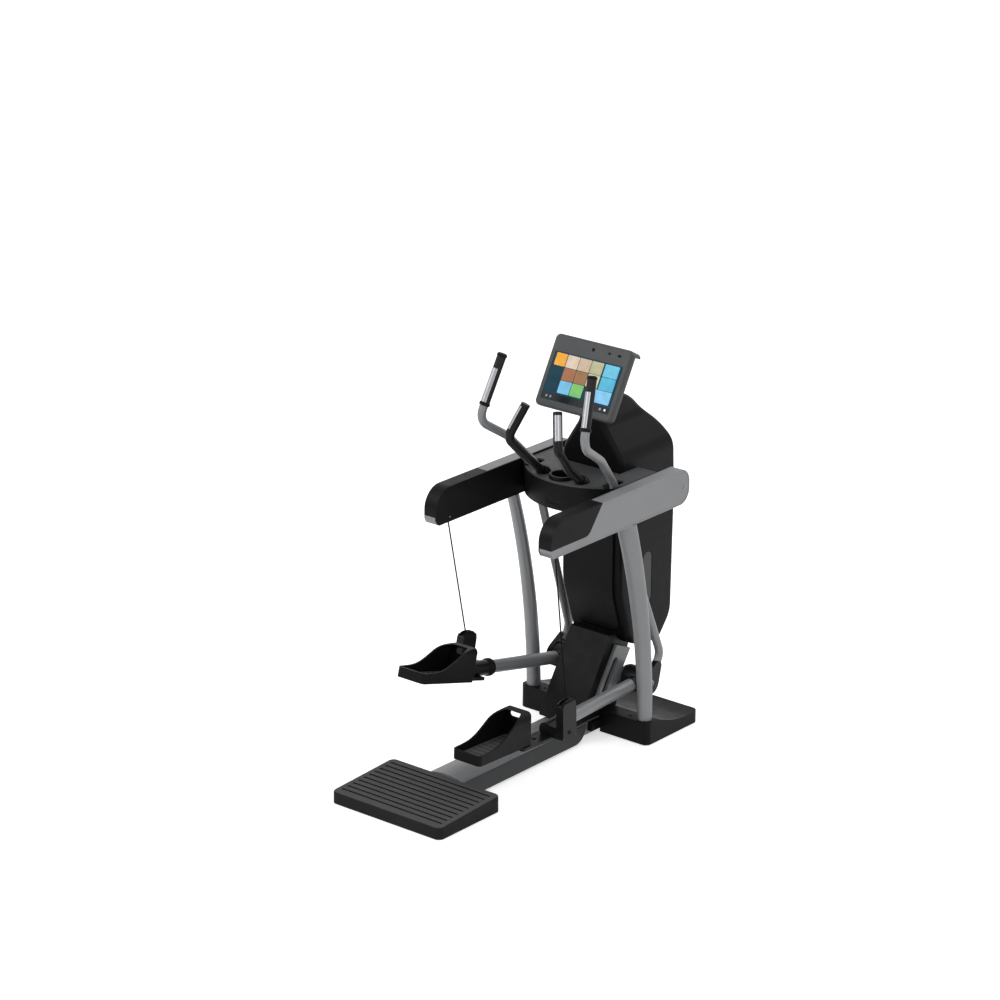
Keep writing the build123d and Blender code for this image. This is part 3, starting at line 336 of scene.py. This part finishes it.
def finishMesh(bm, name, smooth=True):
    bmesh.ops.remove_doubles(bm, verts=bm.verts, dist=0.00001)
    bmesh.ops.recalc_face_normals(bm, faces=bm.faces)
    mesh = bpy.data.meshes.new(name)
    bm.to_mesh(mesh)
    bm.free()
    if smooth:
        mesh.shade_smooth()
        mesh.set_sharp_from_angle(angle=radians(35))
    return mesh


def along(start, end, distance):
    heading = (Vector(end) - Vector(start)).normalized()
    turned = heading.to_track_quat("Z", "Y").to_matrix().to_4x4()
    return Matrix.Translation(Vector(start) + heading * distance) @ turned


# display fields: plain colour tiles, a dark foot bar and a few round keys on the pane
footTone = "#070b10"
display = {
    "hinge": (0, 0.319, 1.386), "lean": 29, "front": 0.0010, "thick": 0.0004,
    "left": -0.170, "low": 0.032, "width": 0.340, "height": 0.196, "corner": 0.003,
    "tiles": [
        (0.03, 0.72, 0.19, 0.985, "#d9982c"),
        (0.20, 0.72, 0.372, 0.985, "#c9b5a2"), (0.38, 0.72, 0.552, 0.985, "#b9a48c"),
        (0.56, 0.72, 0.732, 0.985, "#a9a583"), (0.755, 0.72, 0.965, 0.985, "#5fb0cb"),
        (0.20, 0.445, 0.372, 0.71, "#93603f"), (0.38, 0.445, 0.552, 0.71, "#8a6442"),
        (0.56, 0.445, 0.732, 0.71, "#bfb893"), (0.755, 0.445, 0.965, 0.71, "#4aa6c4"),
        (0.20, 0.17, 0.372, 0.435, "#6cafd2"), (0.38, 0.17, 0.552, 0.435, "#74b467"),
        (0.66, 0.17, 0.965, 0.435, "#78b6da"),
        (0.0, 0.0, 1.0, 0.13, footTone),
    ],
    "keys": [(0.07, "#7d8a90"), (0.13, "#7d8a90"), (0.87, "#8d999f"), (0.94, "#d7dde0")],
    "keyRow": 0.065, "keyRadius": 0.0052,
    "keyProfile": [(1, 0), (1, 0.0004), (0.72, 0.0005), (0.6, 0.0003)],
}
consoleTurn = Matrix.Translation(display["hinge"]) @ Matrix.Rotation(radians(-display["lean"]), 4, "X")
bm = bmesh.new()
layer = bm.faces.layers.float_color.new("tileColour")
corner = display["corner"]
for x0, z0, x1, z1, code in display["tiles"]:
    left, right = (display["left"] + display["width"] * f for f in (x0, x1))
    low, high = (display["low"] + display["height"] * f for f in (z0, z1))
    outline = []
    for cx, cz, start in ((right - corner, high - corner, 0), (left + corner, high - corner, 90),
                          (left + corner, low + corner, 180), (right - corner, low + corner, 270)):
        for step in range(5):
            angle = radians(start + 22.5 * step)
            outline.append((cx + corner * cos(angle), cz + corner * sin(angle)))
    lift = display["thick"] * (0.5 if code == footTone else 1.0)
    back = [bm.verts.new(consoleTurn @ Vector((x, display["front"], z))) for x, z in outline]
    front = [bm.verts.new(consoleTurn @ Vector((x, display["front"] - lift, z))) for x, z in outline]
    for face in [bm.faces.new(front)] + bridge(bm, back, front):
        face[layer] = hexLinear(code)
for x, code in display["keys"]:
    across = display["left"] + display["width"] * x
    upward = display["low"] + display["height"] * display["keyRow"]
    middle = Matrix.Translation((across, display["front"], upward))
    place = consoleTurn @ middle @ Matrix.Rotation(radians(90), 4, "X")
    before = set(bm.faces)
    profile = [(display["keyRadius"] * wide, high) for wide, high in display["keyProfile"]]
    rings = revolve(bm, profile, place, 20)
    bm.faces.new(rings[-1])
    for face in set(bm.faces) - before:
        face[layer] = hexLinear(code)
settle("displayTiles", finishMesh(bm, "displayTiles", False), "base", "screen_glass", litDisplay)
print("display fields made")

# lens and two sockets in the console's upper band
band = {
    "up": 0.268, "lens": 0.006, "sockets": [(0.088, 0.006), (0.138, 0.009)], "socketHigh": 0.005,
    "lensProfile": [
        (0.0072, 0), (0.0072, 0.0012), (0.0058, 0.0018), (0.0046, 0.0012), (0.0040, 0.0006), (0.0020, 0.0012),
    ],
    "socketSteps": [(1.0, 0.0008), (0.82, 0.0014), (0.66, 0.0004)],
    "socketCorners": [(1, -0.6), (1, 0.6), (0.6, 1), (-0.6, 1), (-1, 0.6), (-1, -0.6), (-0.6, -1), (0.6, -1)],
}
bm = bmesh.new()
place = consoleTurn @ Matrix.Translation((band["lens"], 0, band["up"])) @ Matrix.Rotation(radians(90), 4, "X")
rings = revolve(bm, band["lensProfile"], place)
bm.faces.new(rings[-1])
for x, halfWidth in band["sockets"]:
    rings = []
    for inset, depth in band["socketSteps"]:
        reach, rise = halfWidth * inset, band["socketHigh"] * inset
        rings.append([
            bm.verts.new(consoleTurn @ Vector((x + sx * reach, -depth, band["up"] + sz * rise)))
            for sx, sz in band["socketCorners"]
        ])
    for low, high in zip(rings, rings[1:]):
        bridge(bm, low, high)
    bm.faces.new(rings[-1])
settle("consoleLens", finishMesh(bm, "consoleLens"), "base", "black_plastic")
print("console fittings made")


# geometry nodes: a socket-head screw on every point, turned to the point's facing direction
def makeScrewTree():
    tree = bpy.data.node_groups.new("screwRows", "GeometryNodeTree")
    tree.interface.new_socket("Geometry", in_out="INPUT", socket_type="NodeSocketGeometry")
    for label in ("Head Radius", "Head Height", "Socket Radius"):
        tree.interface.new_socket(label, in_out="INPUT", socket_type="NodeSocketFloat")
    tree.interface.new_socket("Finish", in_out="INPUT", socket_type="NodeSocketMaterial")
    tree.interface.new_socket("Geometry", in_out="OUTPUT", socket_type="NodeSocketGeometry")
    given = addNode(tree, "NodeGroupInput").outputs
    crown = addNode(tree, "ShaderNodeMath", {"operation": "MULTIPLY", 1: 0.78}, {0: given["Head Radius"]})
    head = addNode(
        tree, "GeometryNodeMeshCone", {"Vertices": 24},
        {
            "Radius Top": crown.outputs[0], "Radius Bottom": given["Head Radius"],
            "Depth": given["Head Height"],
        },
    )
    key = addNode(
        tree, "GeometryNodeMeshCylinder", {"Vertices": 6},
        {"Radius": given["Socket Radius"], "Depth": given["Head Height"]},
    )
    lift = addNode(tree, "ShaderNodeCombineXYZ", None, {"Z": given["Head Height"]})
    raised = addNode(
        tree, "GeometryNodeTransform", None, {"Geometry": key.outputs["Mesh"], "Translation": lift.outputs[0]}
    )
    screw = addNode(
        tree, "GeometryNodeMeshBoolean", {"operation": "DIFFERENCE"},
        {"Mesh 1": head.outputs["Mesh"], "Mesh 2": raised.outputs[0]},
    )
    facing = addNode(tree, "GeometryNodeInputNamedAttribute", {"data_type": "FLOAT_VECTOR", "Name": "facing"})
    aim = addNode(tree, "FunctionNodeAlignRotationToVector", {"axis": "Z"}, {"Vector": facing.outputs[0]})
    rows = addNode(
        tree, "GeometryNodeInstanceOnPoints", None,
        {"Points": given["Geometry"], "Instance": screw.outputs["Mesh"], "Rotation": aim.outputs[0]},
    )
    real = addNode(tree, "GeometryNodeRealizeInstances", None, {"Geometry": rows.outputs[0]})
    painted = addNode(
        tree, "GeometryNodeSetMaterial", None, {"Geometry": real.outputs[0], "Material": given["Finish"]}
    )
    addNode(tree, "NodeGroupOutput", None, {"Geometry": painted.outputs[0]})
    return tree


# geometry nodes: rounded slats in a row
def makeSlatTree():
    tree = bpy.data.node_groups.new("ventSlats", "GeometryNodeTree")
    tree.interface.new_socket("Count", in_out="INPUT", socket_type="NodeSocketInt")
    for label in ("Spacing", "Slat Length", "Slat Radius"):
        tree.interface.new_socket(label, in_out="INPUT", socket_type="NodeSocketFloat")
    tree.interface.new_socket("Finish", in_out="INPUT", socket_type="NodeSocketMaterial")
    tree.interface.new_socket("Geometry", in_out="OUTPUT", socket_type="NodeSocketGeometry")
    given = addNode(tree, "NodeGroupInput").outputs
    step = addNode(tree, "ShaderNodeCombineXYZ", None, {"X": given["Spacing"]})
    row = addNode(
        tree, "GeometryNodeMeshLine", {"mode": "OFFSET"}, {"Count": given["Count"], "Offset": step.outputs[0]}
    )
    reach = addNode(tree, "ShaderNodeCombineXYZ", None, {"Z": given["Slat Length"]})
    spine = addNode(tree, "GeometryNodeCurvePrimitiveLine", None, {"End": reach.outputs[0]})
    section = addNode(
        tree, "GeometryNodeCurvePrimitiveCircle", {"Resolution": 12}, {"Radius": given["Slat Radius"]}
    )
    slat = addNode(
        tree, "GeometryNodeCurveToMesh", {"Fill Caps": True},
        {"Curve": spine.outputs[0], "Profile Curve": section.outputs[0]},
    )
    rows = addNode(
        tree, "GeometryNodeInstanceOnPoints", None, {"Points": row.outputs[0], "Instance": slat.outputs[0]}
    )
    real = addNode(tree, "GeometryNodeRealizeInstances", None, {"Geometry": rows.outputs[0]})
    painted = addNode(
        tree, "GeometryNodeSetMaterial", None, {"Geometry": real.outputs[0], "Material": given["Finish"]}
    )
    addNode(tree, "NodeGroupOutput", None, {"Geometry": painted.outputs[0]})
    return tree


def growMesh(name, seedMesh, tree, sizes):
    carrier = bpy.data.objects.new(name + "Seed", seedMesh)
    scene.collection.objects.link(carrier)
    grower = carrier.modifiers.new("grow", "NODES")
    grower.node_group = tree
    for item in tree.interface.items_tree:
        if item.in_out == "INPUT" and item.name in sizes:
            grower[item.identifier] = sizes[item.name]
    grown = carrier.evaluated_get(bpy.context.evaluated_depsgraph_get())
    mesh = bpy.data.meshes.new_from_object(grown)
    carrier.modifiers.remove(grower)
    bpy.data.objects.remove(carrier)
    return mesh


# each side's sign and the pitch of its bar at rest
pedalSides = {"left": (-1, 12.0), "right": (1, -2.0)}
hubPlace = (0, 0.542, 0.222)


# a point in a bar's own frame, which turns about the hub
def barPoint(pitch, x, back, up):
    turned = Matrix.Translation(hubPlace) @ Matrix.Rotation(radians(-pitch), 4, "X")
    return turned @ Vector((x, -back, up))


# screws: sizes are head radius, head height and socket radius
screws = {
    "base": {"size": (0.0055, 0.0028, 0.0026), "slot": "black_paint"},
    "pedal": {"size": (0.009, 0.005, 0.0045), "slot": "black_paint"},
    "lever": {"size": (0.012, 0.007, 0.0060), "slot": "machined_steel"},
    "baseTop": 0.1010, "basePlaces": [(0.225, 0.448), (0.310, 0.430)],
    "earX": 0.292, "earBack": 0.577, "hubX": 0.2565,
}
screwRows = {"base": ("base", [
    ((side * x, y, screws["baseTop"]), (0, 0, 1)) for side in (-1, 1) for x, y in screws["basePlaces"]
])}
for name, (side, pitch) in pedalSides.items():
    place = barPoint(pitch, side * screws["earX"], screws["earBack"], 0)
    screwRows[name + "_pedal"] = ("pedal", [(place, (side, 0, 0))])
for name, (side, pitch) in pedalSides.items():
    place = (side * screws["hubX"], hubPlace[1], hubPlace[2])
    screwRows[name + "_lever"] = ("lever", [(place, (side, 0, 0))])
screwTree = makeScrewTree()
for body, (kind, points) in screwRows.items():
    seed = bpy.data.meshes.new("screwSeed")
    seed.from_pydata([tuple(place) for place, facing in points], [], [])
    facings = seed.attributes.new("facing", "FLOAT_VECTOR", "POINT")
    for i, (place, facing) in enumerate(points):
        facings.data[i].vector = facing
    radius, height, socket = screws[kind]["size"]
    slot = screws[kind]["slot"]
    mesh = growMesh("screws", seed, screwTree, {
        "Head Radius": radius, "Head Height": height, "Socket Radius": socket, "Finish": finishes[slot],
    })
    settle(body + "Screws", mesh, body, slot)
print("screws placed")

# vent slats low on the front of the column
vents = {
    "count": 12, "spacing": 0.0095, "length": 0.100, "radius": 0.0028, "y": 0.8126, "z": 0.460, "lean": -1.06,
}
mesh = growMesh("slats", bpy.data.meshes.new("slatSeed"), makeSlatTree(), {
    "Count": vents["count"], "Spacing": vents["spacing"], "Slat Length": vents["length"],
    "Slat Radius": vents["radius"], "Finish": finishes["black_plastic"],
})
first = Matrix.Translation((-vents["spacing"] * (vents["count"] - 1) / 2, vents["y"], vents["z"]))
mesh.transform(first @ Matrix.Rotation(radians(vents["lean"]), 4, "X"))
settle("frontVents", mesh, "base", "black_plastic")
print("vents made")

# rubber collars where the fixed handles stand on the tray, and a ring and a cap on each moving grip;
# sizes are inner radius, outer radius and height
gripTop, gripBend = (0.227, 0.162, 1.624), (0.266, 0.062, 1.363)
collars = {
    "foot": (0.0193, 0.0290, 0.020), "footLow": (0.098, 0.282, 1.118), "footHigh": (0.103, 0.172, 1.212),
    "footStart": 0.017, "skirt": 0.012, "lip": 0.003, "edge": 0.001,
    "grip": [((0.0193, 0.0222, 0.011), 0.206), ((0.0193, 0.0212, 0.010), 0.0)],
}


def mirrored(side, place):
    return (side * place[0], place[1], place[2])


edge, lip, skirt = collars["edge"], collars["lip"], collars["skirt"]
bm = bmesh.new()
for side in (-1, 1):
    inner, outer, tall = collars["foot"]
    profile = [
        (inner, tall), (inner + lip, tall + 2 * edge), (inner + 5 * edge, tall * 0.8),
        (outer - 2 * edge, tall * 0.35), (outer, 0), (outer - edge, -skirt), (inner, -skirt),
    ]
    ends = mirrored(side, collars["footLow"]), mirrored(side, collars["footHigh"])
    revolve(bm, profile, along(*ends, collars["footStart"]))
settle("handleCollars", finishMesh(bm, "handleCollars"), "base", "grip_rubber", finishes["black_plastic"])
for name, (side, pitch) in pedalSides.items():
    bm = bmesh.new()
    for (inner, outer, tall), distance in collars["grip"]:
        profile = [
            (inner - lip, 0), (outer - edge, 0), (outer, edge), (outer, tall - edge), (outer - edge, tall),
            (inner - lip, tall), (inner - lip, 0),
        ]
        revolve(bm, profile, along(mirrored(side, gripTop), mirrored(side, gripBend), distance))
    settle(name + "GripRing", finishMesh(bm, name + "GripRing"), name + "_lever", "black_plastic")
print("collars made")

# rubber lips that close the top of each cable bracket, with a slit for the cable
lips = {
    "x": 0.274, "back": 0.577, "length": 0.084, "width": 0.036, "slit": 0.006, "low": 0.124, "top": 0.141,
    "steps": 14, "swell": 3.2, "endWidth": 0.78, "endRise": 0.25, "fit": 0.985, "edge": 0.004, "round": 0.002,
}
slit, low, steps = lips["slit"], lips["low"], lips["steps"]
for name, (side, pitch) in pedalSides.items():
    bm = bmesh.new()
    for half in (-1, 1):
        rows = []
        for step in range(steps + 1):
            f = -1 + 2 * step / steps
            swell = max(0.0, 1 - abs(f) ** lips["swell"])
            reach = slit + (lips["width"] / 2 - slit) * (lips["endWidth"] + (1 - lips["endWidth"]) * swell)
            rise = low + (lips["top"] - low) * (lips["endRise"] + (1 - lips["endRise"]) * swell)
            section = [
                (slit, low - lips["edge"]), (slit, rise - lips["round"]), (slit + lips["round"], rise),
                (slit + (reach - slit) * 0.6, rise - 0.003), (reach, low + lips["edge"]),
                (reach, low - lips["edge"]),
            ]
            back = lips["back"] - f * lips["length"] / 2 * lips["fit"]
            places = [barPoint(pitch, side * lips["x"] + half * x, back, up) for x, up in section]
            rows.append([bm.verts.new(place) for place in places])
        for first, second in zip(rows, rows[1:]):
            bridge(bm, first, second)
        bm.faces.new(rows[0])
        bm.faces.new(rows[-1])
    settle(name + "BracketLips", finishMesh(bm, name + "BracketLips"), name + "_pedal", "black_plastic")
print("bracket lips made")

# contact plates: pressed stainless strips on the grips, the fixed pair turned outward from the user
contacts = {
    "radius": 0.019, "tuck": 0.0004, "thick": 0.0015, "half": 42, "steps": 14, "edge": 0.0008, "chamfer": 0.4,
    "fixed": {
        "top": (0.08, 0.131, 1.455), "bend": (0.128, 0.076, 1.318), "start": 0.014, "long": 0.104, "turn": 42,
    },
    "moving": {"top": gripTop, "bend": gripBend, "start": 0.060, "long": 0.143, "turn": 0},
}


def addContact(bm, side, run):
    place = along(mirrored(side, run["top"]), mirrored(side, run["bend"]), run["start"])
    turn = radians(run["turn"])
    aim = place.to_3x3().inverted() @ Vector((side * sin(turn), -cos(turn), 0))
    middle, half = atan2(aim.y, aim.x), radians(contacts["half"])
    steps, edge, chamfer = contacts["steps"], contacts["edge"], contacts["chamfer"]
    rows = []
    for height, rise in ((0, chamfer), (edge, 1), (run["long"] - edge, 1), (run["long"], chamfer)):
        section = []
        for step in range(steps + 1):
            f = -1 + 2 * step / steps
            lift = contacts["thick"] * rise * (1 if abs(f) < 1 else chamfer)
            section.append((contacts["radius"] + lift, middle + half * f))
        for step in range(steps + 1):
            f = 1 - 2 * step / steps
            section.append((contacts["radius"] - contacts["tuck"], middle + half * f))
        rows.append([
            bm.verts.new(place @ Vector((radius * cos(angle), radius * sin(angle), height)))
            for radius, angle in section
        ])
    for low, high in zip(rows, rows[1:]):
        bridge(bm, low, high)
    for row in (rows[0], rows[-1]):
        for i in range(steps):
            bm.faces.new((row[i], row[i + 1], row[-2 - i], row[-1 - i]))


bm = bmesh.new()
for side in (-1, 1):
    addContact(bm, side, contacts["fixed"])
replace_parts(settle("pulseContacts", finishMesh(bm, "pulseContacts"), "base", "contact_steel"), "pulse_plates")
for name, (side, pitch) in pedalSides.items():
    bm = bmesh.new()
    addContact(bm, side, contacts["moving"])
    label = name + "GripContact"
    piece = settle(label, finishMesh(bm, label), name + "_lever", "contact_steel")
    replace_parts(piece, name + "_grip_plate")
print("contact plates made")

# bare plates in the two slots on the column's sides, with a raised rim given as (inset, lift)
sidePlate = {
    "y": 0.638, "z": 0.630, "straight": 0.168, "radius": 0.028, "x": 0.150, "steps": 12,
    "rim": [(0, 0), (0, 0.0012), (0.0006, 0.0016), (0.0034, 0.0016), (0.0042, 0.0010)],
}
bm = bmesh.new()
for side in (-1, 1):
    rings = []
    for inset, lift in sidePlate["rim"]:
        radius = sidePlate["radius"] - inset
        ring = []
        for end, start in ((1, 0), (-1, pi)):
            for step in range(sidePlate["steps"] + 1):
                angle = start + pi * step / sidePlate["steps"]
                y = sidePlate["y"] + radius * cos(angle)
                z = sidePlate["z"] + end * sidePlate["straight"] / 2 + radius * sin(angle)
                ring.append(bm.verts.new((side * (sidePlate["x"] + lift), y, z)))
        rings.append(ring)
    for low, high in zip(rings, rings[1:]):
        bridge(bm, low, high)
    bm.faces.new(rings[0])
    bm.faces.new(rings[-1])
settle("sidePlates", finishMesh(bm, "sidePlates"), "base", "grey_plastic")
print("side plates made")

# knuckle: a short sleeve on the bar with a rounded collar at its front end
knuckle = {
    "x": 0.200, "front": 0.498, "back": 0.535, "bore": 0.027, "sleeve": 0.032, "collar": 0.037, "long": 0.022,
}
front, back, neck = knuckle["front"], knuckle["back"], knuckle["front"] + knuckle["long"]
bore, sleeve, collar = knuckle["bore"], knuckle["sleeve"], knuckle["collar"]
profile = [
    (bore, front), (collar - 0.004, front), (collar - 0.001, front + 0.0012), (collar, front + 0.004),
    (collar, neck - 0.004), (collar - 0.0015, neck - 0.001), (sleeve + 0.001, neck + 0.001),
    (sleeve, neck + 0.003), (sleeve, back), (bore, back), (bore, front),
]
for name, (side, pitch) in pedalSides.items():
    x = side * knuckle["x"]
    bm = bmesh.new()
    revolve(bm, profile, along(barPoint(pitch, x, 0, 0), barPoint(pitch, x, 1, 0), 0), 48)
    label = name + "KnuckleSleeve"
    piece = settle(label, finishMesh(bm, label), name + "_pedal", "black_plastic")
    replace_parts(piece, name + "_knuckle")
print("knuckles made")

# studio: a pale floor, a soft sky and three large lamps
studio = {
    "floor": "#f2f2f2",
    "floorLift": 0.5,
    "horizon": 0.40,
    "zenith": 0.80,
    "lamps": [
        ("keyLamp", (-3.2, -4.2, 5.2), 4.0, 190),
        ("fillLamp", (4.5, -2.5, 3.6), 3.5, 70),
        ("rimLamp", (1.0, 4.5, 4.6), 3.5, 110),
    ],
}


# rays that should meet the plain white backdrop: the camera's own, and those seen in gloss or glass
def backdropRays(tree):
    rays = addNode(tree, "ShaderNodeLightPath").outputs
    shiny = addNode(
        tree, "ShaderNodeMath", {"operation": "MAXIMUM"},
        {0: rays["Is Glossy Ray"], 1: rays["Is Transmission Ray"]},
    )
    seen = addNode(
        tree, "ShaderNodeMath", {"operation": "MAXIMUM"}, {0: rays["Is Camera Ray"], 1: shiny.outputs[0]}
    )
    return seen.outputs[0]


floorMesh = bpy.data.meshes.new("studioFloor")
floorMesh.from_pydata([(-60, -60, 0), (60, -60, 0), (60, 60, 0), (-60, 60, 0)], [], [(0, 1, 2, 3)])
floor = bpy.data.objects.new("studioFloor", floorMesh)
scene.collection.objects.link(floor)
floorMaterial, tree, shader, place = startMaterial(
    "paintedFloor",
    {"Base Color": hexLinear(studio["floor"]), "Roughness": 0.9, "Emission Color": (1, 1, 1, 1)},
)
lifted = addNode(
    tree, "ShaderNodeMath", {"operation": "MULTIPLY", 1: studio["floorLift"]}, {0: backdropRays(tree)}
)
tree.links.new(lifted.outputs[0], shader.inputs["Emission Strength"])
floorMesh.materials.append(floorMaterial)

world = bpy.data.worlds.new("softSky")
scene.world = world
world.use_nodes = True
tree = world.node_tree
tree.nodes.clear()
skyPlace = addNode(tree, "ShaderNodeTexCoord").outputs["Generated"]
height = addNode(tree, "ShaderNodeSeparateXYZ", None, {"Vector": skyPlace}).outputs["Z"]
strength = addNode(
    tree, "ShaderNodeMapRange",
    {"From Min": 0.0, "From Max": 1.0, "To Min": studio["horizon"], "To Max": studio["zenith"]},
    {"Value": height},
)
skyLight = addNode(tree, "ShaderNodeBackground", None, {"Strength": strength.outputs[0]})
whiteBack = addNode(tree, "ShaderNodeBackground", {"Strength": 1.0})
skyLight.inputs["Color"].default_value = whiteBack.inputs["Color"].default_value = (1, 1, 1, 1)
mixed = addNode(
    tree, "ShaderNodeMixShader", None,
    {0: backdropRays(tree), 1: skyLight.outputs[0], 2: whiteBack.outputs[0]},
)
addNode(tree, "ShaderNodeOutputWorld", None, {"Surface": mixed.outputs[0]})

for name, place, size, power in studio["lamps"]:
    lampData = bpy.data.lights.new(name, "AREA")
    lampData.size = size
    lampData.energy = power
    lamp = bpy.data.objects.new(name, lampData)
    aim = (Vector((0, 0, 0.8)) - Vector(place)).to_track_quat("-Z", "Y")
    lamp.matrix_world = Matrix.Translation(place) @ aim.to_matrix().to_4x4()
    scene.collection.objects.link(lamp)
print("studio lit")

scene.view_settings.view_transform = "Standard"
